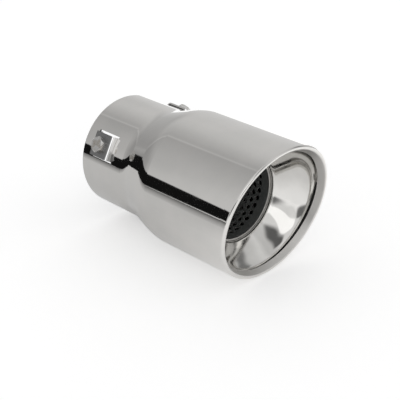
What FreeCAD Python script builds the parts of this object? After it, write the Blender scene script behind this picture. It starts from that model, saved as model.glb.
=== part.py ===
import FreeCAD, Part
import Sketcher
import math
import os
import re

# Polished exhaust tip that clamps on a tailpipe with three bolts. In its own frame the tip
# lies along -Y with +Z up, and the origin is the centre of the collar's open inlet end.
# The pieces are drawn about +Z, with the inlet at zero, the outlet above it and +Y towards
# the ground, and their placement then lays them down.

SIZES = {
    # outer shell
    "wall": 1.0,
    "collar_radius": 32.0,
    "collar_length": 33.0,
    "inlet_round": 0.4,
    "neck_bend": 22.0,
    "flare_angle": 17.0,
    "shoulder_bend": 28.0,
    "body_radius": 38.0,
    "tip_length": 118.6,
    "slant_angle": 11.5,
    # rolled lip of the outlet
    "lip_roll": 1.3,
    "lip_lean": 31.0,
    "lip_flap": 3.5,
    "lip_skirt": 4.0,
    # bridges that carry the clamp bolts
    "bolt_count": 3,
    "bolt_station": 16.3,
    "bridge_length": 15.4,
    "bridge_width": 13.6,
    "bridge_rise": 2.8,
    "bridge_draft": 0.5,
    "bridge_bend": 1.3,
    "slit_width": 0.8,
    "slit_overrun": 0.5,
    # clamp bolts and their plate nuts
    "bolt_radius": 2.45,
    "hole_clearance": 0.3,
    "head_flats": 8.0,
    "head_height": 3.5,
    "head_chamfer": 0.6,
    "tip_chamfer": 0.5,
    "bolt_setback": 0.2,
    "nut_thickness": 2.4,
    "nut_width": 12.4,
    "nut_play": 0.45,
    "thread_clearance": 0.15,
    # funnel inside the outlet
    "cone_sheet": 1.0,
    "seat_clearance": 0.15,
    "cone_flange": 1.4,
    "cone_mouth_depth": 24.4,
    "cone_bulge": 2.4,
    "cone_round": 1.4,
    "cone_neck": 7.5,
    # perforated liner and the ring that carries its rear end
    "liner_radius": 23.85,
    "liner_sheet": 1.0,
    "liner_setback": 2.7,
    "liner_margin": 6.2,
    "hole_radius": 1.5,
    "hole_rows": 5,
    "holes_round": 24,
    "ring_sheet": 1.0,
    "liner_overhang": 3.5,
    "ring_step": 1.4,
    "ring_flange": 5.0,
    "ring_bend": 1.6,
}

# Sizes that follow from the ones above.
DERIVED = {
    "bore_radius": "collar_radius - wall",
    "flare_sin": "sin(flare_angle * 1 deg)",
    "flare_cos": "cos(flare_angle * 1 deg)",
    "slant": "tan(slant_angle * 1 deg)",
    "neck_centre": "collar_radius + neck_bend",
    "neck_inner": "neck_bend + wall",
    "shoulder_centre": "body_radius - shoulder_bend",
    "shoulder_inner": "shoulder_bend - wall",
    "neck_end": "collar_length + neck_bend * flare_sin",
    "flare_rise": "body_radius - collar_radius - (neck_bend + shoulder_bend) * (1 - flare_cos)",
    "shoulder_start": "neck_end + flare_rise * flare_cos / flare_sin",
    "shoulder_end": "shoulder_start + shoulder_bend * flare_sin",
    "lip_middle": "body_radius - lip_roll",
    "lip_height": "tip_length - lip_roll",
    "lip_inner": "lip_roll - wall",
    "lip_sin": "sin(lip_lean * 1 deg)",
    "lip_cos": "cos(lip_lean * 1 deg)",
    "lip_base": "lip_height - lip_skirt",
    "bridge_top": "collar_radius + bridge_rise",
    "bridge_inside": "bridge_top - wall",
    "bridge_foot": "(bore_radius + sqrt(collar_radius ^ 2 - (bridge_width / 2) ^ 2)) / 2",
    "bolt_reach": "bridge_top - bore_radius - bolt_setback",
    "nut_length": "bridge_length - 2 * bridge_draft - 2 * wall - 2 * nut_play",
    "cone_seat": "body_radius - wall - seat_clearance - cone_sheet",
    "cone_mouth": "tip_length - cone_mouth_depth",
    "cone_cover": "(lip_middle - lip_inner * lip_cos - cone_seat) * lip_cos / lip_sin",
    "cone_top": "lip_height + lip_inner * lip_sin - cone_cover - seat_clearance * 2",
    "neck_radius": "liner_radius + seat_clearance",
    "mouth_radius": "neck_radius + cone_round",
    "cone_flare": "cone_seat - mouth_radius",
    "cone_rise": "cone_top - cone_flange - cone_mouth",
    "cone_chord": "sqrt(cone_flare ^ 2 + cone_rise ^ 2)",
    "bulge_out": "4 * cone_bulge * cone_rise / cone_chord",
    "bulge_down": "4 * cone_bulge * cone_flare / cone_chord",
    "liner_front": "cone_mouth - liner_setback",
    "ring_rear": "shoulder_end + ring_step",
    "liner_rear": "ring_rear - liner_overhang",
    "row_pitch": "(liner_front - liner_rear - 2 * liner_margin) / (hole_rows - 1)",
    "ring_radius": "body_radius - wall - seat_clearance",
}

LAID_DOWN = FreeCAD.Rotation(
    FreeCAD.Vector(-1, 0, 0), FreeCAD.Vector(0, 0, -1), FreeCAD.Vector(0, -1, 0), "ZXY")


def formula(text):
    """Put the sheet's name before each size in a formula."""
    return re.sub(r"[a-z_]+", lambda word: prefixed(word.group()), text)


def prefixed(word):
    return f"sizes.{word}" if word in SIZES or word in DERIVED else word


def value(text):
    result = sheet.evalExpression(formula(text))
    return float(getattr(result, "Value", result))


def make_sheet():
    rows = list(SIZES.items()) + [(name, "=" + text) for name, text in DERIVED.items()]
    for number, (name, content) in enumerate(rows, start=1):
        sheet.set(f"A{number}", name)
        sheet.set(f"B{number}", str(content))
        sheet.setAlias(f"B{number}", name)
    doc.recompute()


def lay_down(piece, label, local=FreeCAD.Placement()):
    piece.Label = label
    piece.Placement = FreeCAD.Placement(FreeCAD.Vector(), LAID_DOWN).multiply(local)
    pieces.append(piece)


# Sketches

def sketch_on(body, name, role):
    """Add a sketch on one of the body's origin planes."""
    plane = next(item for item in body.Origin.OriginFeatures if item.Role == role)
    sketch = body.newObject("Sketcher::SketchObject", name)
    sketch.AttachmentSupport = [(plane, "")]
    sketch.MapMode = "FlatFace"
    return sketch


def hold(sketch, geometry, point, across, along):
    """Fix one point of the sketch at two formulas, measured from the origin."""
    for kind, text, axis in (("DistanceX", across, -2), ("DistanceY", along, -1)):
        measure = value(text)
        if abs(measure) < 1e-9:
            sketch.addConstraint(Sketcher.Constraint("PointOnObject", geometry, point, axis))
            continue
        ends = (-1, 1, geometry, point) if measure > 0 else (geometry, point, -1, 1)
        index = sketch.addConstraint(Sketcher.Constraint(kind, *ends, abs(measure)))
        signed = formula(text) if measure > 0 else f"-1 * ( {formula(text)} )"
        sketch.setExpression(f"Constraints[{index}]", signed)


def set_radius(sketch, geometry, text):
    index = sketch.addConstraint(Sketcher.Constraint("Radius", geometry, value(text)))
    sketch.setExpression(f"Constraints[{index}]", formula(text))


def outline(sketch, corners, bends=None):
    """Draw a closed outline through corners given as pairs of formulas.

    bends maps the number of a corner to the radius and centre of the arc that leaves it.
    """
    bends = bends or {}
    places = [FreeCAD.Vector(value(across), value(along), 0) for across, along in corners]
    first = sketch.GeometryCount
    starts, ends = [], []
    for i, place in enumerate(places):
        after = places[(i + 1) % len(places)]
        if i not in bends:
            sketch.addGeometry(Part.LineSegment(place, after), False)
            starts.append(1)
            ends.append(2)
            continue
        radius, across, along = bends[i]
        centre = FreeCAD.Vector(value(across), value(along), 0)
        angles = [math.atan2(p.y - centre.y, p.x - centre.x) for p in (place, after)]
        forward = (angles[1] - angles[0]) % (2 * math.pi) < math.pi
        ring = Part.Circle(centre, FreeCAD.Vector(0, 0, 1), value(radius))
        low, high = angles if forward else reversed(angles)
        sketch.addGeometry(Part.ArcOfCircle(ring, low, high), False)
        starts.append(1 if forward else 2)
        ends.append(2 if forward else 1)
    for i in range(len(places)):
        after = (i + 1) % len(places)
        sketch.addConstraint(Sketcher.Constraint(
            "Coincident", first + i, ends[i], first + after, starts[after]))
        hold(sketch, first + i, starts[i], *corners[i])
    for i, (radius, _, _) in bends.items():
        set_radius(sketch, first + i, radius)


def circle(sketch, across, along, radius):
    centre = FreeCAD.Vector(value(across), value(along), 0)
    ring = Part.Circle(centre, FreeCAD.Vector(0, 0, 1), value(radius))
    geometry = sketch.addGeometry(ring, False)
    hold(sketch, geometry, 3, across, along)
    set_radius(sketch, geometry, radius)


def box_outline(sketch, left, right, low, high):
    outline(sketch, [(left, low), (right, low), (right, high), (left, high)])


# Features

def revolve(body, profile, name, kind="PartDesign::Revolution"):
    feature = body.newObject(kind, name)
    feature.Profile = profile
    feature.ReferenceAxis = (profile, ["V_Axis"])
    feature.Angle = 360
    doc.recompute()
    return feature


def extrude(body, profile, name, length, kind="PartDesign::Pocket", symmetric=False, back=False):
    feature = body.newObject(kind, name)
    feature.Profile = profile
    feature.SideType = "Symmetric" if symmetric else "One side"
    feature.setExpression("Length", formula(length))
    feature.Reversed = back
    doc.recompute()
    return feature


def repeat_round(body, originals, name, count):
    pattern = body.newObject("PartDesign::PolarPattern", name)
    pattern.Originals = originals
    axis = next(item for item in body.Origin.OriginFeatures if item.Role == "Z_Axis")
    pattern.Axis = (axis, [""])
    pattern.Angle = 360
    pattern.setExpression("Occurrences", formula(count))
    body.Tip = pattern
    doc.recompute()
    return pattern


def turned_piece(name, corners, bends=None):
    body = doc.addObject("PartDesign::Body", name)
    profile = sketch_on(body, name + "_profile", "XZ_Plane")
    outline(profile, corners, bends)
    revolve(body, profile, name + "_turned")
    return body


# Outer shell: collar, flare and body in one drawn tube, with the bolt bridges pressed out of
# the collar and the outlet rolled inwards along a slanting edge.

def make_tube():
    top = "tip_length + body_radius"
    corners = [
        ("bore_radius", "0"),
        ("collar_radius - inlet_round", "0"),
        ("collar_radius", "inlet_round"),
        ("collar_radius", "collar_length"),
        ("neck_centre - neck_bend * flare_cos", "neck_end"),
        ("shoulder_centre + shoulder_bend * flare_cos", "shoulder_start"),
        ("body_radius", "shoulder_end"),
        ("body_radius", top),
        ("body_radius - wall", top),
        ("body_radius - wall", "shoulder_end"),
        ("shoulder_centre + shoulder_inner * flare_cos", "shoulder_end - shoulder_inner * flare_sin"),
        ("neck_centre - neck_inner * flare_cos", "collar_length + neck_inner * flare_sin"),
        ("bore_radius", "collar_length"),
    ]
    bends = {
        1: ("inlet_round", "collar_radius - inlet_round", "inlet_round"),
        3: ("neck_bend", "neck_centre", "collar_length"),
        5: ("shoulder_bend", "shoulder_centre", "shoulder_end"),
        9: ("shoulder_inner", "shoulder_centre", "shoulder_end"),
        11: ("neck_inner", "neck_centre", "collar_length"),
    }
    return turned_piece("tube", corners, bends)


def bridge_section(sketch, inset, bend, top, foot):
    """Draw the bridge's section along the tip, as deep below its outer face as the inset."""
    low = f"bolt_station - bridge_length / 2 + {inset}"
    high = f"bolt_station + bridge_length / 2 - {inset}"
    corners = [
        (foot, low),
        (f"{top} - {bend}", f"{low} + bridge_draft"),
        (top, f"{low} + bridge_draft + {bend}"),
        (top, f"{high} - bridge_draft - {bend}"),
        (f"{top} - {bend}", f"{high} - bridge_draft"),
        (foot, high),
    ]
    bends = {
        1: (bend, f"{top} - {bend}", f"{low} + bridge_draft + {bend}"),
        3: (bend, f"{top} - {bend}", f"{high} - bridge_draft - {bend}"),
    }
    outline(sketch, corners, bends)


def add_bridges(body):
    section = sketch_on(body, "bridge_section", "YZ_Plane")
    bridge_section(section, "0", "bridge_bend", "bridge_top", "bridge_foot")
    block = extrude(body, section, "bridge_block", "bridge_width", "PartDesign::Pad", symmetric=True)

    hollow = sketch_on(body, "bridge_hollow", "YZ_Plane")
    bridge_section(hollow, "wall", "(bridge_bend - wall)", "bridge_inside", "bridge_foot - wall * 2")
    cavity = extrude(body, hollow, "bridge_cavity", "bridge_width", symmetric=True)

    slits = sketch_on(body, "slit_plan", "XZ_Plane")
    low = "bolt_station - bridge_length / 2 - slit_overrun"
    high = "bolt_station + bridge_length / 2 + slit_overrun"
    box_outline(slits, "bridge_width / 2", "bridge_width / 2 + slit_width", low, high)
    box_outline(slits, "-1 * bridge_width / 2 - slit_width", "-1 * bridge_width / 2", low, high)
    cuts = extrude(body, slits, "bridge_slits", "bridge_top")

    plan = sketch_on(body, "bolt_hole_plan", "XZ_Plane")
    circle(plan, "0", "bolt_station", "bolt_radius + hole_clearance")
    hole = extrude(body, plan, "bolt_hole", "bridge_top + wall")
    repeat_round(body, [block, cavity, cuts, hole], "bridges", "bolt_count")


def cut_outlet(body):
    """Cut the tube along the slant where the rolled lip takes over."""
    sketch = sketch_on(body, "outlet_cut", "YZ_Plane")
    reach = "body_radius * 2"
    ceiling = "tip_length + body_radius * 3"
    outline(sketch, [
        (f"-1 * {reach}", f"lip_base + {reach} * slant"),
        (reach, f"lip_base - {reach} * slant"),
        (reach, ceiling),
        (f"-1 * {reach}", ceiling),
    ])
    extrude(body, sketch, "outlet_opening", "body_radius * 3", symmetric=True)


def slanted(shape):
    """Shear a shape along the tip so that its level rings follow the outlet's slant."""
    shear = FreeCAD.Matrix()
    shear.A32 = -value("slant")
    return shape.transformGeometry(shear)


def make_lip():
    """Roll the wall over and let it run on as a flap that leans in towards the funnel."""
    top = "lip_height"
    flap_across = "lip_middle - lip_roll * lip_cos - lip_flap * lip_sin"
    flap_along = f"{top} + lip_roll * lip_sin - lip_flap * lip_cos"
    corners = [
        ("body_radius", "lip_base"),
        ("body_radius", top),
        ("lip_middle", "tip_length"),
        ("lip_middle - lip_roll * lip_cos", f"{top} + lip_roll * lip_sin"),
        (flap_across, flap_along),
        (f"{flap_across} + wall * lip_cos", f"{flap_along} - wall * lip_sin"),
        ("lip_middle - lip_inner * lip_cos", f"{top} + lip_inner * lip_sin"),
        ("lip_middle", f"{top} + lip_inner"),
        ("body_radius - wall", top),
        ("body_radius - wall", "lip_base"),
    ]
    bends = {
        1: ("lip_roll", "lip_middle", top),
        2: ("lip_roll", "lip_middle", top),
        6: ("lip_inner", "lip_middle", top),
        7: ("lip_inner", "lip_middle", top),
    }
    level = turned_piece("lip_level", corners, bends)
    lip = doc.addObject("Part::Feature", "lip_slanted")
    lip.Shape = slanted(level.Shape)
    return lip


def make_outer_shell():
    tube = make_tube()
    add_bridges(tube)
    cut_outlet(tube)
    shell = doc.addObject("Part::Fuse", "shell")
    shell.Base = tube
    shell.Tool = make_lip()
    doc.recompute()
    lay_down(shell, "outer_shell")


# Funnel: a flange tucked behind the lip's flap, a bowl-shaped skirt that turns from the outlet's
# slant to square with the axis, and a neck that takes the liner.

def funnel_ring(name, radius, height, share):
    """Draw the ring where a cylinder about the axis meets a plane with a share of the slant."""
    lean = value("slant") * share
    ring = doc.addObject("Part::Ellipse", name)
    stretch = math.sqrt(1 + lean ** 2)
    ring.setExpression("MinorRadius", formula(radius))
    ring.setExpression("MajorRadius", formula(f"( {radius} ) * sqrt(1 + (slant * {share}) ^ 2)"))
    along = FreeCAD.Vector(0, 1, -lean) / stretch
    normal = FreeCAD.Vector(0, lean, 1) / stretch
    ring.Placement = FreeCAD.Placement(
        FreeCAD.Vector(0, 0, value(height)), FreeCAD.Rotation(along, normal.cross(along), normal, "ZXY"))
    return ring


def skirt_station(share):
    """Place one ring of the skirt, a share of the way from the mouth to the seat."""
    radius = f"mouth_radius + cone_flare * {share} + bulge_out * {share} * (1 - {share})"
    height = f"cone_mouth + cone_rise * {share} - bulge_down * {share} * (1 - {share})"
    return radius, height, share, skew(share)


def skew(share):
    """Give the sheet's thickness measured square to the axis at one ring of the skirt."""
    out = f"(cone_flare + bulge_out * (1 - 2 * {share}))"
    up = f"(cone_rise - bulge_down * (1 - 2 * {share}))"
    return f"cone_sheet * sqrt(1 + ({out} / {up}) ^ 2)"


def funnel_skin(name, depth):
    """Loft one face of the skirt and its flange, at a depth below the face that shows."""
    rings = 6
    stations = [skirt_station(number / rings) for number in range(rings)]
    stations += [("cone_seat", "cone_top - cone_flange", 1.0, "cone_sheet"),
                 ("cone_seat", "cone_top", 1.0, "cone_sheet")]
    skin = doc.addObject("Part::Loft", name)
    skin.Sections = [
        funnel_ring(f"{name}_ring_{number}", f"{radius} + {depth} * {thickness}", height, share)
        for number, (radius, height, share, thickness) in enumerate(stations, start=1)]
    skin.Solid = True
    doc.recompute()
    return skin


def make_outlet_cone():
    skirt = doc.addObject("Part::Cut", "funnel_skirt")
    skirt.Base = funnel_skin("funnel_back", 1)
    skirt.Tool = funnel_skin("funnel_front", 0)
    neck_rear = "cone_mouth - cone_round - cone_neck"
    collar = turned_piece("funnel_neck", [
        ("mouth_radius", "cone_mouth"),
        (f"mouth_radius + {skew(0)}", "cone_mouth"),
        ("mouth_radius + cone_sheet / 2", "cone_mouth - cone_sheet"),
        ("mouth_radius", "cone_mouth - cone_sheet"),
        ("neck_radius + cone_sheet", "cone_mouth - cone_round"),
        ("neck_radius + cone_sheet", neck_rear),
        ("neck_radius", neck_rear),
        ("neck_radius", "cone_mouth - cone_round"),
    ], {
        3: ("cone_round - cone_sheet", "mouth_radius", "cone_mouth - cone_round"),
        7: ("cone_round", "mouth_radius", "cone_mouth - cone_round"),
    })
    cone = doc.addObject("Part::Fuse", "funnel")
    cone.Base = skirt
    cone.Tool = collar
    doc.recompute()
    lay_down(cone, "outlet_cone")


# Perforated liner and its ring

def make_liner():
    tube = turned_piece("liner_tube", [
        ("liner_radius - liner_sheet", "liner_rear"),
        ("liner_radius", "liner_rear"),
        ("liner_radius", "liner_front"),
        ("liner_radius - liner_sheet", "liner_front"),
    ])
    step = 2 * math.pi / size("holes_round")
    start, reach = value("liner_radius - liner_sheet * 2"), value("liner_sheet * 3")
    drills = []
    for row in range(int(size("hole_rows"))):
        height = value(f"liner_front - liner_margin - row_pitch * {row}")
        for number in range(int(size("holes_round"))):
            turn = (number + row % 2 / 2) * step
            outward = FreeCAD.Vector(math.cos(turn), math.sin(turn), 0)
            foot = outward * start + FreeCAD.Vector(0, 0, height)
            drills.append(Part.makeCylinder(size("hole_radius"), reach, foot, outward))
    holes = doc.addObject("Part::Feature", "liner_holes")
    holes.Shape = Part.makeCompound(drills)
    liner = doc.addObject("Part::Cut", "liner")
    liner.Base = tube
    liner.Tool = holes
    doc.recompute()
    lay_down(liner, "perforated_liner")


def make_liner_ring():
    inner, outer = "liner_radius + seat_clearance", "ring_radius"
    rear, front = "ring_rear", "ring_rear + ring_sheet + ring_flange"
    tight = "ring_bend - ring_sheet"
    body = turned_piece("ring", [
        (f"{inner} + ring_bend", rear),
        (f"{outer} - ring_bend", rear),
        (outer, f"{rear} + ring_bend"),
        (outer, front),
        (f"{outer} - ring_sheet", front),
        (f"{outer} - ring_sheet", f"{rear} + ring_bend"),
        (f"{outer} - ring_bend", f"{rear} + ring_sheet"),
        (f"{inner} + ring_bend", f"{rear} + ring_sheet"),
        (f"{inner} + ring_sheet", f"{rear} + ring_bend"),
        (f"{inner} + ring_sheet", front),
        (inner, front),
        (inner, f"{rear} + ring_bend"),
    ], {
        1: ("ring_bend", f"{outer} - ring_bend", f"{rear} + ring_bend"),
        5: (tight, f"{outer} - ring_bend", f"{rear} + ring_bend"),
        7: (tight, f"{inner} + ring_bend", f"{rear} + ring_bend"),
        11: ("ring_bend", f"{inner} + ring_bend", f"{rear} + ring_bend"),
    })
    lay_down(body, "liner_ring")


# Clamp bolts and plate nuts, drawn about their own axis with the bolt head's seat at zero

def make_bolt(label, local):
    body = doc.addObject("PartDesign::Body", label)
    head = sketch_on(body, label + "_hexagon", "XY_Plane")
    across = "head_flats / 2"
    point = f"{across} / cos(30 * 1 deg)"
    outline(head, [
        (point, "0"), (f"{point} / 2", across), (f"-1 * {point} / 2", across),
        (f"-1 * {point}", "0"), (f"-1 * {point} / 2", f"-1 * {across}"), (f"{point} / 2", f"-1 * {across}"),
    ])
    extrude(body, head, label + "_head", "head_height", "PartDesign::Pad")
    shank = sketch_on(body, label + "_shank_profile", "XZ_Plane")
    outline(shank, [
        ("0", "0"), ("bolt_radius", "0"), ("bolt_radius", "tip_chamfer - bolt_reach"),
        ("bolt_radius - tip_chamfer", "-1 * bolt_reach"), ("0", "-1 * bolt_reach"),
    ])
    revolve(body, shank, label + "_shank")
    crown = sketch_on(body, label + "_crown", "XZ_Plane")
    outline(crown, [
        (f"{across} - head_chamfer / 4", "head_height"),
        (f"{point} + head_chamfer", "head_height"),
        (f"{point} + head_chamfer", "head_height - head_chamfer"),
        (point, "head_height - head_chamfer"),
    ])
    revolve(body, crown, label + "_chamfer", "PartDesign::Groove")
    lay_down(body, label, local)


def make_nut(label, local):
    body = doc.addObject("PartDesign::Body", label)
    plan = sketch_on(body, label + "_plan", "XY_Plane")
    box_outline(plan, "-1 * nut_width / 2", "nut_width / 2", "-1 * nut_length / 2", "nut_length / 2")
    circle(plan, "0", "0", "bolt_radius + thread_clearance")
    extrude(body, plan, label + "_plate", "nut_thickness", "PartDesign::Pad", back=True)
    lay_down(body, label, local)


def make_fasteners():
    count = int(size("bolt_count"))
    outward = FreeCAD.Rotation(FreeCAD.Vector(1, 0, 0), -90)
    for number in range(count):
        turn = FreeCAD.Rotation(FreeCAD.Vector(0, 0, 1), 360.0 * number / count)
        for make, name, seat in ((make_bolt, "clamp_bolt", "bridge_top"),
                                 (make_nut, "clamp_nut", "bridge_inside")):
            place = turn.multVec(FreeCAD.Vector(0, value(seat), value("bolt_station")))
            make(f"{name}_{number + 1}", FreeCAD.Placement(place, turn.multiply(outward)))


def size(name):
    return float(getattr(sheet, name))


doc = FreeCAD.newDocument("exhaust_tip")
sheet = doc.addObject("Spreadsheet::Sheet", "sizes")
pieces = []
make_sheet()
make_outer_shell()
make_outlet_cone()
make_liner()
make_liner_ring()
make_fasteners()
doc.recompute()

for item in doc.Objects:
    assert not {"Invalid", "Error"} & set(item.State), f"{item.Label} failed"
os.makedirs("parts", exist_ok=True)
for piece in pieces:
    assert not piece.Shape.isNull() and piece.Shape.isValid(), f"{piece.Label} has no valid shape"
    piece.Shape.exportStep(f"parts/{piece.Label}.step")
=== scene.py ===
import math

import bpy
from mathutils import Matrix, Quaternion, Vector


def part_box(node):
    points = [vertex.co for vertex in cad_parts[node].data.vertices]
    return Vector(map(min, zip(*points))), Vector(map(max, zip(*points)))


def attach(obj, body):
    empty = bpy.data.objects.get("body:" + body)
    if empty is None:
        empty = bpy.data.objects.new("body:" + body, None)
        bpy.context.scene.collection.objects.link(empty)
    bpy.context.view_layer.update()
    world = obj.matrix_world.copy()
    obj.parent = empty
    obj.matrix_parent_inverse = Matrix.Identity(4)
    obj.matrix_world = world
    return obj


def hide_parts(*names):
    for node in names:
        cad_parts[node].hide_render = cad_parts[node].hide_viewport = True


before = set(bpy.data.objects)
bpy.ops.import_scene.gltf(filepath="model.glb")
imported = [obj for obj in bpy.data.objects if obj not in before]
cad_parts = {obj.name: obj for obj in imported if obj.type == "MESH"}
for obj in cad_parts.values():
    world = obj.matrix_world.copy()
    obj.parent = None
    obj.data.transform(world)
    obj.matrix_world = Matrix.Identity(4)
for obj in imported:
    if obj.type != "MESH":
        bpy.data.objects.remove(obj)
for leftover in ("Cube", "Light", "Camera"):
    if leftover in bpy.data.objects:
        bpy.data.objects.remove(bpy.data.objects[leftover])
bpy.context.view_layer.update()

MM = 0.001
shell_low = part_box("outer_shell")[0]
bolt_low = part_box("clamp_bolt_1")[0]
liner_low, liner_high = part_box("perforated_liner")

SLANT = math.tan(math.radians(11.5))
FLOOR_LEVEL = min(bolt_low.z, shell_low.z)


# Camera

LENS = 90.5
SENSOR_WIDTH = 36
CAMERA_PLACE = Vector((-325.9, -422.6, 239.4)) * MM
CAMERA_VIEW = Vector((0.5951, 0.6597, -0.4589))
CAMERA_ROLL = math.radians(-2.505)


def place_camera():
    data = bpy.data.cameras.new("camera")
    data.lens = LENS
    data.sensor_width = SENSOR_WIDTH
    data.clip_start = 10 * MM
    camera = bpy.data.objects.new("camera", data)
    camera.location = CAMERA_PLACE
    turn = CAMERA_VIEW.to_track_quat("-Z", "Y") @ Quaternion((0, 0, 1), CAMERA_ROLL)
    camera.rotation_euler = turn.to_euler()
    bpy.context.scene.collection.objects.link(camera)
    bpy.context.scene.camera = camera
    bpy.context.scene.view_settings.view_transform = "Standard"


# Node helpers

class Graph:
    """Short ways to add and join the nodes of one node tree."""

    def __init__(self, tree):
        self.tree = tree

    def add(self, kind, **settings):
        node = self.tree.nodes.new(kind)
        for name, setting in settings.items():
            setattr(node, name, setting)
        return node

    def feed(self, socket, source):
        if isinstance(source, bpy.types.NodeSocket):
            self.tree.links.new(source, socket)
        else:
            socket.default_value = source

    def math(self, operation, first, second=0.0, third=0.0):
        node = self.add("ShaderNodeMath", operation=operation)
        for socket, source in zip(node.inputs, (first, second, third)):
            self.feed(socket, source)
        return node.outputs[0]

    def times(self, first, second):
        return self.math("MULTIPLY", first, second)

    def either(self, first, second):
        """Join two masks."""
        return self.math("MAXIMUM", first, second)

    def mix(self, share, first, second, kind="RGBA"):
        node = self.add("ShaderNodeMix", data_type=kind)
        self.feed(node.inputs["Factor"], share)
        self.feed(node.inputs["A"], first)
        self.feed(node.inputs["B"], second)
        return node.outputs["Result"]

    def blend(self, share, first, second):
        """Mix two numbers."""
        return self.mix(share, first, second, "FLOAT")

    def ramp(self, source, low, high, from_low, from_high, smooth=False):
        """Go from low to high while the source goes from from_low to from_high."""
        node = self.add("ShaderNodeMapRange",
                        interpolation_type="SMOOTHSTEP" if smooth else "LINEAR")
        self.feed(node.inputs["Value"], source)
        for name, setting in (("From Min", from_low), ("From Max", from_high),
                              ("To Min", low), ("To Max", high)):
            self.feed(node.inputs[name], setting)
        return node.outputs["Result"]

    def split(self, source):
        node = self.add("ShaderNodeSeparateXYZ")
        self.feed(node.inputs[0], source)
        return node.outputs["X"], node.outputs["Y"], node.outputs["Z"]

    def place(self, scale=(1, 1, 1)):
        """Give the surface's place on the object, stretched by a scale."""
        mapping = self.add("ShaderNodeMapping")
        mapping.inputs["Scale"].default_value = scale
        self.feed(mapping.inputs["Vector"], self.add("ShaderNodeTexCoord").outputs["Object"])
        return mapping.outputs["Vector"]

    def radius(self, across, height):
        """Give the distance from the tip's axis."""
        return self.math("SQRT", self.math(
            "ADD", self.math("POWER", across, 2.0), self.math("POWER", height, 2.0)))

    def level(self, along, height):
        """Give how far from the inlet a plane along the slanted rim meets the axis."""
        return self.times(self.math("MULTIPLY_ADD", height, SLANT, along), -1.0)

    def noise(self, vector, scale, detail=2.0, roughness=0.5, distortion=0.0):
        node = self.add("ShaderNodeTexNoise")
        self.feed(node.inputs["Vector"], vector)
        for name, setting in (("Scale", scale), ("Detail", detail),
                              ("Roughness", roughness), ("Distortion", distortion)):
            self.feed(node.inputs[name], setting)
        return node.outputs["Fac"]

    def group(self, tree, **inputs):
        node = self.add("ShaderNodeGroup", node_tree=tree)
        for name, source in inputs.items():
            self.feed(node.inputs[name], source)
        return node.outputs


def grey(level):
    return (level, level, level, 1.0)


# Studio: a pale tent round a white table. Its brightness goes by heading, in degrees from -Y
# towards -X, and falls off low behind. On it lie patches with a middle (heading and rise), a
# reach in both, a lean, a softness of the edge and a brightness: a bright screen in front with
# dark shapes round it, and the dark slot behind that draws the band along the steel.

TENT = [
    (-180, 0.51), (-175, 0.55), (-168, 0.59), (-160, 0.65), (-154, 0.69), (-145, 0.72),
    (-133, 0.73), (-120, 0.76), (-60, 0.64), (-44, 0.72), (-28, 0.84), (-18, 0.68),
    (10, 0.72), (28, 0.93), (60, 0.90), (90, 0.76), (104, 0.75), (131, 0.72), (135, 0.67),
    (138, 0.63), (142, 0.59), (147, 0.56), (153, 0.53), (161, 0.50), (168, 0.48),
    (171.5, 0.47), (174, 0.61), (176, 0.51), (180, 0.51),
]
LOW_BEHIND = {"heading": (136, 150), "rise": (14, 34), "loss": 0.22}
PATCHES = [
    ((31.5, 22.5), (19, 8.2), 0.0, 0.08, 1.42),
    ((53, -3), (5, 9), 0.0, 0.3, 1.15),
    ((9, 38), (13, 8.5), 0.15, 0.4, 0.14),
    ((74, 8), (22.5, 9.5), 0.0, 0.12, 0.17),
    ((-72, 21), (14, 10), 0.0, 0.4, 0.22),
    ((8, -1), (12, 4.5), 0.0, 0.3, 0.02),
    ((150, 0.8), (25, 7.0), -0.07, 0.05, 0.008),
]


def patch(graph, heading, rise, middle, reach, lean, soft):
    """Mark a rounded patch of the tent; its rise may lean with the heading."""
    across = graph.math("SUBTRACT", heading, math.radians(middle[0]))
    up = graph.math("SUBTRACT", rise, math.radians(middle[1]))
    up = graph.math("MULTIPLY_ADD", across, -lean, up)
    parts = []
    for part, size in ((across, reach[0]), (up, reach[1])):
        share = graph.math("ABSOLUTE", graph.math("DIVIDE", part, math.radians(size)))
        parts.append(graph.math("POWER", share, 4.0))
    far = graph.math("POWER", graph.math("ADD", *parts), 0.25)
    return graph.ramp(far, 1.0, 0.0, 1.0 - soft, 1.0 + soft, smooth=True)


def make_world():
    world = bpy.data.worlds.new("studio")
    bpy.context.scene.world = world
    world.use_nodes = True
    graph = Graph(world.node_tree)
    background = next(n for n in world.node_tree.nodes if n.type == "BACKGROUND")
    across, along, height = graph.split(
        graph.add("ShaderNodeTexCoord").outputs["Generated"])
    heading = graph.math("ARCTAN2", graph.times(across, -1.0), graph.times(along, -1.0))
    rise = graph.math("ARCSINE", height)

    tent = graph.add("ShaderNodeValToRGB")
    stops = tent.color_ramp.elements
    while len(stops) < len(TENT):
        stops.new(0.5)
    for stop, (angle, level) in zip(stops, TENT):
        stop.position = (angle + 180) / 360
    for stop, (angle, level) in zip(stops, TENT):
        stop.color = grey(level)
    graph.feed(tent.inputs["Fac"], graph.ramp(heading, 0.0, 1.0, -math.pi, math.pi))

    behind = graph.ramp(graph.math("ABSOLUTE", heading), 0.0, LOW_BEHIND["loss"],
                        *map(math.radians, LOW_BEHIND["heading"]))
    low = graph.ramp(rise, 1.0, 0.0, *map(math.radians, LOW_BEHIND["rise"]), smooth=True)
    lit = graph.mix(graph.times(behind, low), tent.outputs["Color"], grey(0.0))
    for middle, reach, lean, soft, level in PATCHES:
        mask = patch(graph, heading, rise, middle, reach, lean, soft)
        lit = graph.mix(mask, lit, grey(level))
    path = graph.add("ShaderNodeLightPath")
    graph.feed(background.inputs["Color"],
               graph.mix(path.outputs["Is Camera Ray"], lit, grey(1.0)))


# Table: in the steel it fades away behind on the left, and glows in front and on the right.
# The stretches over which that changes are in metres.

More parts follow.
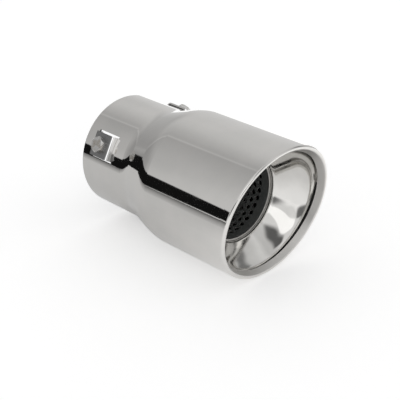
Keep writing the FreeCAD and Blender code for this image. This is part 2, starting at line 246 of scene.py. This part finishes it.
TABLE_RADIUS = 0.5
TABLE_SIDES = 128
TABLE_WHITE = 0.85
TABLE_DARK = 0.1
TABLE_SEEN = 0.42
FRONT_GLOW = 0.45
BACK_GLOW = 0.08
RIGHT_GLOW = 0.6
FRONT_STRETCH = (-0.16, 0.0)
RIGHT_STRETCH = (-0.08, 0.0)
FADE_LOSS = 0.75
FADE_BEHIND = (-0.10, 0.02)
FADE_LEFT = (0.17, 0.42)


def make_floor():
    """Lay a white table whose own light makes it white to the camera and pale in the steel."""
    bpy.ops.mesh.primitive_circle_add(
        vertices=TABLE_SIDES, radius=TABLE_RADIUS, fill_type="NGON",
        location=(0, 0, FLOOR_LEVEL))
    floor = bpy.context.object
    floor.name = "table"
    material = bpy.data.materials.new("white_table")
    material.use_nodes = True
    graph = Graph(material.node_tree)
    paint = material.node_tree.nodes["Principled BSDF"]
    paint.inputs["Roughness"].default_value = 0.9
    paint.inputs["Specular IOR Level"].default_value = 0.0
    paint.inputs["Emission Color"].default_value = grey(1.0)

    across, along, height = graph.split(graph.place())
    left = graph.times(across, -1.0)
    behind = graph.ramp(along, 0.0, 1.0, *FADE_BEHIND, smooth=True)
    fade = graph.times(behind, graph.ramp(left, 0.0, 1.0, *FADE_LEFT))
    front_glow = graph.ramp(along, FRONT_GLOW, BACK_GLOW, *FRONT_STRETCH, smooth=True)
    on_right = graph.ramp(left, 1.0, 0.0, *RIGHT_STRETCH, smooth=True)
    glow = graph.blend(on_right, front_glow, RIGHT_GLOW)
    glow = graph.math("SUBTRACT", glow, graph.times(fade, FADE_LOSS))
    glow = graph.math("MAXIMUM", glow, 0.0)

    path = graph.add("ShaderNodeLightPath")
    glossy = path.outputs["Is Glossy Ray"]
    seen = graph.times(path.outputs["Is Camera Ray"], TABLE_SEEN)
    graph.feed(paint.inputs["Emission Strength"],
               graph.math("ADD", seen, graph.times(glossy, glow)))
    graph.feed(paint.inputs["Base Color"],
               graph.mix(graph.times(glossy, fade), grey(TABLE_WHITE), grey(TABLE_DARK)))
    floor.data.materials.append(material)


# Effects that several finishes share

def new_group(name, inputs, outputs):
    """Start a node group with number inputs and the outputs named, and return its parts."""
    tree = bpy.data.node_groups.new(name, "ShaderNodeTree")
    for socket, setting in inputs.items():
        added = tree.interface.new_socket(
            socket, in_out="INPUT", socket_type="NodeSocketFloat")
        added.default_value = setting
    for socket in outputs:
        tree.interface.new_socket(socket, in_out="OUTPUT", socket_type="NodeSocketFloat")
    given = tree.nodes.new("NodeGroupInput").outputs
    made = tree.nodes.new("NodeGroupOutput").inputs
    return tree, Graph(tree), given, made


def make_buffing():
    """Fine lines left by a polishing wheel as the tip turned on its axis, and a soft haze."""
    tree, graph, given, made = new_group(
        "buffing", {"Lines": 2600.0, "Haze": 55.0}, ["Lines", "Haze"])
    lines = graph.noise(graph.place((0.02, 1.0, 0.02)), given["Lines"], detail=3.0)
    graph.feed(made["Lines"], lines)
    haze = graph.noise(graph.place(), given["Haze"], detail=4.0, roughness=0.55)
    graph.feed(made["Haze"], graph.ramp(haze, 0.0, 1.0, 0.35, 0.7, smooth=True))
    return tree


def make_smears():
    """Finger smears and dried drops on a polished surface."""
    tree, graph, given, made = new_group("smears", {"Size": 38.0, "Amount": 0.5}, ["Mask"])
    patches = graph.noise(graph.place(), given["Size"], detail=1.0, distortion=1.5)
    fine = graph.noise(graph.place((1.0, 2.5, 1.0)), graph.times(given["Size"], 14.0),
                       detail=3.0)
    mask = graph.times(graph.ramp(patches, 0.0, 1.0, 0.52, 0.68, smooth=True),
                       graph.ramp(fine, 0.2, 1.0, 0.35, 0.65))
    graph.feed(made["Mask"], graph.times(mask, given["Amount"]))
    return tree


def make_sides():
    """Mark surfaces by the way they face.

    Inside: the inner side of a wall, behind the rolled lip. Outward: any outer side.
    Edge: a cut edge or a hole's wall. Flat: straight out or in. Front: to the outlet.
    """
    tree, graph, given, made = new_group(
        "sides", {"Lip Level": 113 * MM}, ["Inside", "Outward", "Edge", "Flat", "Front"])
    across, along, height = graph.split(graph.place())
    normal = graph.split(graph.add("ShaderNodeNewGeometry").outputs["Normal"])
    outward = graph.math("ADD", graph.times(across, normal[0]), graph.times(height, normal[2]))
    faces_in = graph.math("LESS_THAN", outward, 0.0)
    lean = graph.math("ABSOLUTE", graph.math("DIVIDE", outward, graph.radius(across, height)))
    behind = graph.math("LESS_THAN", graph.level(along, height), given["Lip Level"])
    graph.feed(made["Inside"], graph.times(faces_in, behind))
    graph.feed(made["Outward"], graph.math("SUBTRACT", 1.0, faces_in))
    graph.feed(made["Edge"], graph.ramp(lean, 1.0, 0.0, 0.3, 0.6))
    graph.feed(made["Flat"], graph.ramp(lean, 0.0, 1.0, 0.8, 0.92))
    graph.feed(made["Front"], graph.ramp(normal[1], 1.0, 0.0, -0.6, -0.4))
    return tree


def make_grain():
    """Rolled grain of plain sheet, drawn out along the tip, with specks."""
    tree, graph, given, made = new_group("grain", {"Fineness": 900.0}, ["Grain", "Specks"])
    grain = graph.noise(graph.place((1.0, 0.12, 1.0)), given["Fineness"],
                        detail=3.0, roughness=0.6)
    graph.feed(made["Grain"], grain)
    specks = graph.noise(graph.place(), graph.times(given["Fineness"], 0.45), detail=2.0)
    graph.feed(made["Specks"], graph.ramp(specks, 0.0, 1.0, 0.6, 0.75, smooth=True))
    return tree


# Finishes

# Painted shade: near-black colour for faces inside the hollows, the shell's inner side and the
# funnel's hidden back.
HOLLOW_SHADE = (0.05, 0.048, 0.045, 1.0)
# Bridge tops: satin finish darkened with painted shade. Bridge fronts: a painted highlight,
# nearly white.
SHADED_SATIN_BRIDGE = grey(0.26)
HIGHLIT_BRIDGE_FRONT = grey(0.97)
# Painted dark reflection on the lip's flap.
FLAP_DARK_REFLECTION = (0.42, 0.41, 0.395, 1.0)
BRIDGE_RADIUS = 32.25 * MM
COLLAR_END = -30 * MM
FLAP_LEVEL = 115 * MM
FLAP_RADIUS = (35.5 * MM, 36.6 * MM)
# Heights over which the flap's painted dark reflection grows from a quarter to full strength.
FLAP_REFLECTION_SPAN = (-24 * MM, -4 * MM)
NECK_END = (-93.2 * MM, -92.2 * MM)


def new_material(name, roughness=0.3, metallic=1.0):
    material = bpy.data.materials.new(name)
    material.use_nodes = True
    paint = material.node_tree.nodes["Principled BSDF"]
    paint.inputs["Metallic"].default_value = metallic
    paint.inputs["Roughness"].default_value = roughness
    return material, Graph(material.node_tree), paint


def bump(graph, paint, height, strength, distance):
    node = graph.add("ShaderNodeBump")
    node.inputs["Strength"].default_value = strength
    node.inputs["Distance"].default_value = distance
    graph.feed(node.inputs["Height"], height)
    graph.feed(paint.inputs["Normal"], node.outputs["Normal"])


def polished_steel():
    """Mirror polish outside, duller on the bridges' tops and the lip's flap; painted shade on
    the bridge tops and inside, a painted highlight on the bridge fronts, a painted dark
    reflection on the flap.
    """
    material, graph, paint = new_material("polished_steel")
    buffing = graph.group(BUFFING)
    smears = graph.group(SMEARS)["Mask"]
    sides = graph.group(SIDES)
    across, along, height = graph.split(graph.place())
    radius = graph.radius(across, height)
    raised = graph.times(graph.math("GREATER_THAN", radius, BRIDGE_RADIUS),
                         graph.math("GREATER_THAN", along, COLLAR_END))
    # Painted shade on the bridges' flat tops and a painted highlight on their fronts.
    bridge_top = graph.times(raised, sides["Flat"])
    bridge_front = graph.times(raised, sides["Front"])
    flap = graph.times(graph.ramp(radius, 1.0, 0.0, *FLAP_RADIUS, smooth=True),
                       graph.math("GREATER_THAN", graph.level(along, height), FLAP_LEVEL))
    # Painted dark reflection on the flap, a quarter as strong low down.
    flap_reflection = graph.times(flap, graph.ramp(height, 0.25, 1.0, *FLAP_REFLECTION_SPAN, smooth=True))

    colour = graph.mix(buffing["Haze"], (0.67, 0.66, 0.64, 1.0), (0.7, 0.685, 0.665, 1.0))
    # Over the buffed colour: painted shade on bridge tops and inside, painted highlight on
    # bridge fronts, painted dark reflection on the flap.
    for mask, other in ((bridge_top, SHADED_SATIN_BRIDGE), (bridge_front, HIGHLIT_BRIDGE_FRONT),
                        (sides["Inside"], HOLLOW_SHADE), (flap_reflection, FLAP_DARK_REFLECTION)):
        colour = graph.mix(mask, colour, other)
    graph.feed(paint.inputs["Base Color"], colour)

    polish = graph.math("ADD", graph.ramp(buffing["Lines"], 0.035, 0.06, 0.3, 0.7),
                        graph.times(smears, 0.05))
    dull = graph.ramp(buffing["Haze"], 0.38, 0.5, 0.0, 1.0)
    unpolished = graph.either(graph.either(bridge_top, sides["Inside"]), flap)
    graph.feed(paint.inputs["Roughness"], graph.blend(unpolished, polish, dull))
    bump(graph, paint, buffing["Lines"], 0.02, 0.05 * MM)
    return material


def funnel_steel():
    """Spun sheet, polished in front with slow waves and fine rings, satin in the neck, with
    painted shade on its hidden back.
    """
    material, graph, paint = new_material("funnel_steel")
    buffing = graph.group(BUFFING, Haze=80.0)
    smears = graph.group(SMEARS, Size=60.0)["Mask"]
    behind = graph.group(SIDES)["Outward"]
    across, along, height = graph.split(graph.place())
    neck = graph.ramp(along, 0.0, 1.0, *NECK_END)
    colour = graph.mix(buffing["Haze"], (0.65, 0.64, 0.62, 1.0), (0.7, 0.69, 0.67, 1.0))
    # Painted shade: the funnel's back, hidden in the hollow behind it, is coloured near black.
    graph.feed(paint.inputs["Base Color"], graph.mix(behind, colour, HOLLOW_SHADE))
    polish = graph.math("ADD", graph.ramp(buffing["Haze"], 0.06, 0.11, 0.0, 1.0),
                        graph.times(smears, 0.08))
    graph.feed(paint.inputs["Roughness"],
               graph.blend(graph.either(behind, neck), polish, 0.42))
    waves = graph.noise(graph.place(), 95.0, detail=1.0)
    bump(graph, paint, graph.math("MULTIPLY_ADD", buffing["Lines"], 0.05, waves),
         0.05, 0.15 * MM)
    return material


def black_steel():
    """Black coating on punched sheet, with specks of dust and bare metal at the cuts."""
    material, graph, paint = new_material("black_steel", 0.4, 0.0)
    grain = graph.group(GRAIN, Fineness=1400.0)
    cut = graph.group(SIDES)["Edge"]
    coating = graph.mix(grain["Specks"], (0.095, 0.1, 0.097, 1.0), grey(0.14))
    graph.feed(paint.inputs["Base Color"], graph.mix(cut, coating, (0.55, 0.54, 0.52, 1.0)))
    graph.feed(paint.inputs["Metallic"], graph.times(cut, 0.8))
    graph.feed(paint.inputs["Roughness"], graph.ramp(grain["Grain"], 0.3, 0.42, 0.3, 0.7))
    bump(graph, paint, grain["Grain"], 0.05, 0.05 * MM)
    return material


def plain_steel():
    """Rolled sheet that was never polished."""
    material, graph, paint = new_material("plain_steel")
    grain = graph.group(GRAIN)
    haze = graph.group(BUFFING)["Haze"]
    colour = graph.mix(haze, (0.42, 0.415, 0.41, 1.0), (0.52, 0.515, 0.505, 1.0))
    graph.feed(paint.inputs["Base Color"], graph.mix(grain["Specks"], colour, grey(0.3)))
    graph.feed(paint.inputs["Roughness"], graph.ramp(grain["Grain"], 0.3, 0.45, 0.3, 0.7))
    bump(graph, paint, grain["Grain"], 0.1, 0.05 * MM)
    return material


def bolt_steel():
    """Satin bolt steel with a brownish stain from handling and heat."""
    material, graph, paint = new_material("bolt_steel")
    grain = graph.group(GRAIN, Fineness=1800.0)
    stain = graph.noise(graph.place(), 260.0, detail=3.0)
    stained = graph.ramp(stain, 0.0, 1.0, 0.45, 0.65, smooth=True)
    colour = graph.mix(stained, (0.6, 0.595, 0.585, 1.0), (0.46, 0.43, 0.39, 1.0))
    graph.feed(paint.inputs["Base Color"], colour)
    graph.feed(paint.inputs["Roughness"], graph.ramp(grain["Grain"], 0.2, 0.34, 0.3, 0.7))
    bump(graph, paint, grain["Grain"], 0.15, 0.04 * MM)
    return material


# Pieces

def clear_selection():
    bpy.ops.object.select_all(action="DESELECT")


def face_all(inside):
    """Turn all faces of the active piece the same way, into a hollow or out of it."""
    bpy.ops.object.mode_set(mode="EDIT")
    bpy.ops.mesh.select_all(action="SELECT")
    bpy.ops.mesh.normals_make_consistent(inside=inside)
    bpy.ops.object.mode_set(mode="OBJECT")


def thicken(piece, thickness, smooth_angle):
    """Give a sheet its thickness and smooth its gentle bends."""
    sheet = piece.modifiers.new("sheet", "SOLIDIFY")
    sheet.thickness = thickness
    sheet.offset = -1
    bpy.ops.object.modifier_apply(modifier=sheet.name)
    bpy.ops.object.shade_smooth_by_angle(angle=math.radians(smooth_angle))


def finish_piece(piece, material, slot, *nodes):
    piece.data.materials.clear()
    piece.data.materials.append(material)
    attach(piece, "root")
    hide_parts(*nodes)


# Funnel: a short neck round the liner, a rounded mouth, a cone that turns from square with the
# axis to the outlet's slant, and a curl up to a flange near the body's wall. Radii and heights
# are in millimetres.

FUNNEL_SHEET = 0.6 * MM
NECK_RADIUS = 24.0
NECK_REAR = 85.3
MOUTH_BEND = 1.6
MOUTH_HEIGHT = 92.6
MOUTH_SLOPE = math.radians(44.0)
MOUTH_STEPS = 5
CONE_SLOPE = math.radians(39.5)
CONE_BELLY = 0.1
CONE_STEPS = 40
WALL_RADIUS = 35.8
CURL_START = 103.6
CURL_END = 112.8
SLANT_GROWTH = 1.3
FLANGE_END = 114.8
FUNNEL_SIDES = 192
FUNNEL_SMOOTH = 40


def funnel_profile():
    """List the radius, height and share of the slant of each ring, from neck to flange."""
    rings = [(NECK_RADIUS, NECK_REAR, 0.0)]
    for step in range(MOUTH_STEPS + 1):
        angle = MOUTH_SLOPE * step / MOUTH_STEPS
        rings.append((NECK_RADIUS + MOUTH_BEND * (1 - math.cos(angle)),
                      MOUTH_HEIGHT + MOUTH_BEND * math.sin(angle), 0.0))
    mouth_radius, mouth = rings[-1][:2]
    rise = (CURL_END - mouth) / CONE_STEPS
    climbs = []
    for step in range(CONE_STEPS):
        height = mouth + rise * (step + 0.5)
        curl = max(0.0, (height - CURL_START) / (CURL_END - CURL_START))
        climbs.append(math.tan(CONE_SLOPE) * (1 + CONE_BELLY * (1 - curl)) * (1 - curl ** 2))
    climbs[0] = math.tan(MOUTH_SLOPE)
    scale = (WALL_RADIUS - mouth_radius) / sum(climb * rise for climb in climbs)
    radius = mouth_radius
    for step, climb in enumerate(climbs, start=1):
        radius += climb * rise * scale
        share = (step / CONE_STEPS) ** SLANT_GROWTH
        rings.append((radius, mouth + rise * step, share))
    rings.append((WALL_RADIUS, FLANGE_END, 1.0))
    return rings


def make_funnel(material):
    """Draw the funnel up ring by ring from a circle at the neck, slant it and thicken it."""
    rings = funnel_profile()
    clear_selection()
    bpy.ops.mesh.primitive_circle_add(
        vertices=FUNNEL_SIDES, radius=rings[0][0] * MM, fill_type="NOTHING",
        location=(0, -rings[0][1] * MM, 0), rotation=(math.pi / 2, 0, 0))
    funnel = bpy.context.object
    funnel.name = "outlet_funnel"
    bpy.ops.object.transform_apply(location=True, rotation=True, scale=True)
    bpy.ops.object.mode_set(mode="EDIT")
    for before, after in zip(rings, rings[1:]):
        size = after[0] / before[0]
        bpy.ops.mesh.extrude_region_move()
        bpy.ops.transform.translate(value=(0, (before[1] - after[1]) * MM, 0))
        bpy.ops.transform.resize(
            value=(size, 1, size), center_override=(0, -after[1] * MM, 0))
    bpy.ops.object.mode_set(mode="OBJECT")
    for number, vertex in enumerate(funnel.data.vertices):
        share = rings[number // FUNNEL_SIDES][2]
        vertex.co.y -= share * SLANT * vertex.co.z
    face_all(inside=True)
    thicken(funnel, FUNNEL_SHEET, FUNNEL_SMOOTH)
    finish_piece(funnel, material, "funnel_steel", "outlet_cone")


# Perforated liner

LINER_RADIUS = liner_high.x
LINER_SHEET = 1.0 * MM
HOLES_ROUND = 34
HOLE_ROWS = 8
HOLE_RADIUS = 1.45 * MM
RIM_GROWTH = 1.12
BORDER_GROWTH = 1.3
ROW_PITCH = 3.7 * MM
CELL_SIDES = 16
FRONT_MARGIN = 6.7 * MM
LINER_SMOOTH = 35
REPEAT_WELD = 0.01 * MM
SEAM_WELD = 0.05 * MM
EDGE_MATCH = 0.02 * MM


def punched_cell(half_width, half_length):
    """Model one hole with its rim and the square of sheet round it, flat, at the origin."""
    bpy.ops.mesh.primitive_circle_add(
        vertices=CELL_SIDES, radius=HOLE_RADIUS, fill_type="NOTHING")
    cell = bpy.context.object
    bpy.ops.object.mode_set(mode="EDIT")
    for size in (RIM_GROWTH, BORDER_GROWTH):
        bpy.ops.mesh.extrude_region_move()
        bpy.ops.transform.resize(value=(size, size, 1))
    bpy.ops.object.mode_set(mode="OBJECT")
    border = [v for v in cell.data.vertices if v.select]
    for vertex in border:
        angle = math.atan2(vertex.co.y, vertex.co.x)
        reach = max(abs(math.cos(angle)), abs(math.sin(angle)))
        corner = [math.cos(angle) / reach, math.sin(angle) / reach]
        corner = [round(c * 2) / 2 for c in corner]
        vertex.co = (corner[0] * half_width, corner[1] * half_length, 0)
    return cell


def repeat(piece, count, step):
    array = piece.modifiers.new("repeat", "ARRAY")
    array.use_relative_offset = False
    array.use_constant_offset = True
    array.constant_offset_displace = step
    array.count = count
    array.use_merge_vertices = True
    array.merge_threshold = REPEAT_WELD
    bpy.context.view_layer.objects.active = piece
    bpy.ops.object.modifier_apply(modifier=array.name)


def extend_rim(piece, edge_at, reach_to):
    """Draw out the open edge at one station of the tip to another station."""
    bpy.ops.object.mode_set(mode="EDIT")
    bpy.ops.mesh.select_mode(type="VERT")
    bpy.ops.mesh.select_all(action="DESELECT")
    bpy.ops.object.mode_set(mode="OBJECT")
    for vertex in piece.data.vertices:
        vertex.select = abs(vertex.co.y - edge_at) < EDGE_MATCH
    bpy.ops.object.mode_set(mode="EDIT")
    bpy.ops.mesh.select_mode(type="EDGE")
    bpy.ops.mesh.extrude_edges_move(
        TRANSFORM_OT_translate={"value": (0, reach_to - edge_at, 0)})
    bpy.ops.object.mode_set(mode="OBJECT")


def make_liner(material):
    """Punch a flat sheet, roll it up and give it its thickness."""
    width = 2 * math.pi * LINER_RADIUS / HOLES_ROUND
    rows = []
    for row in range(2):
        clear_selection()
        cell = punched_cell(width / 2, ROW_PITCH / 2)
        repeat(cell, HOLES_ROUND, (width, 0, 0))
        repeat(cell, HOLE_ROWS // 2, (0, ROW_PITCH * 2, 0))
        for vertex in cell.data.vertices:
            vertex.co.x += row * width / 2
            vertex.co.y += row * ROW_PITCH
        rows.append(cell)
    clear_selection()
    for row in rows:
        row.select_set(True)
    bpy.context.view_layer.objects.active = rows[0]
    bpy.ops.object.join()
    liner = bpy.context.object
    liner.name = "punched_liner"
    front = liner_low.y + FRONT_MARGIN
    for vertex in liner.data.vertices:
        angle = vertex.co.x / LINER_RADIUS
        vertex.co = (LINER_RADIUS * math.sin(angle), front + vertex.co.y,
                     LINER_RADIUS * math.cos(angle))
    bpy.ops.object.mode_set(mode="EDIT")
    bpy.ops.mesh.select_all(action="SELECT")
    bpy.ops.mesh.remove_doubles(threshold=SEAM_WELD)
    bpy.ops.object.mode_set(mode="OBJECT")
    extend_rim(liner, front - ROW_PITCH / 2, liner_low.y)
    extend_rim(liner, front + ROW_PITCH * (HOLE_ROWS - 0.5), liner_high.y)
    face_all(inside=False)
    thicken(liner, LINER_SHEET, LINER_SMOOTH)
    finish_piece(liner, material, "black_steel", "perforated_liner")


def dress(names, material):
    for name in names:
        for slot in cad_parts[name].material_slots:
            slot.material = material


place_camera()
make_world()
make_floor()
BUFFING = make_buffing()
SMEARS = make_smears()
SIDES = make_sides()
GRAIN = make_grain()
dress(["outer_shell"], polished_steel())
make_funnel(funnel_steel())
make_liner(black_steel())
dress(["liner_ring", "clamp_nut_1", "clamp_nut_2", "clamp_nut_3"], plain_steel())
dress(["clamp_bolt_1", "clamp_bolt_2", "clamp_bolt_3"], bolt_steel())
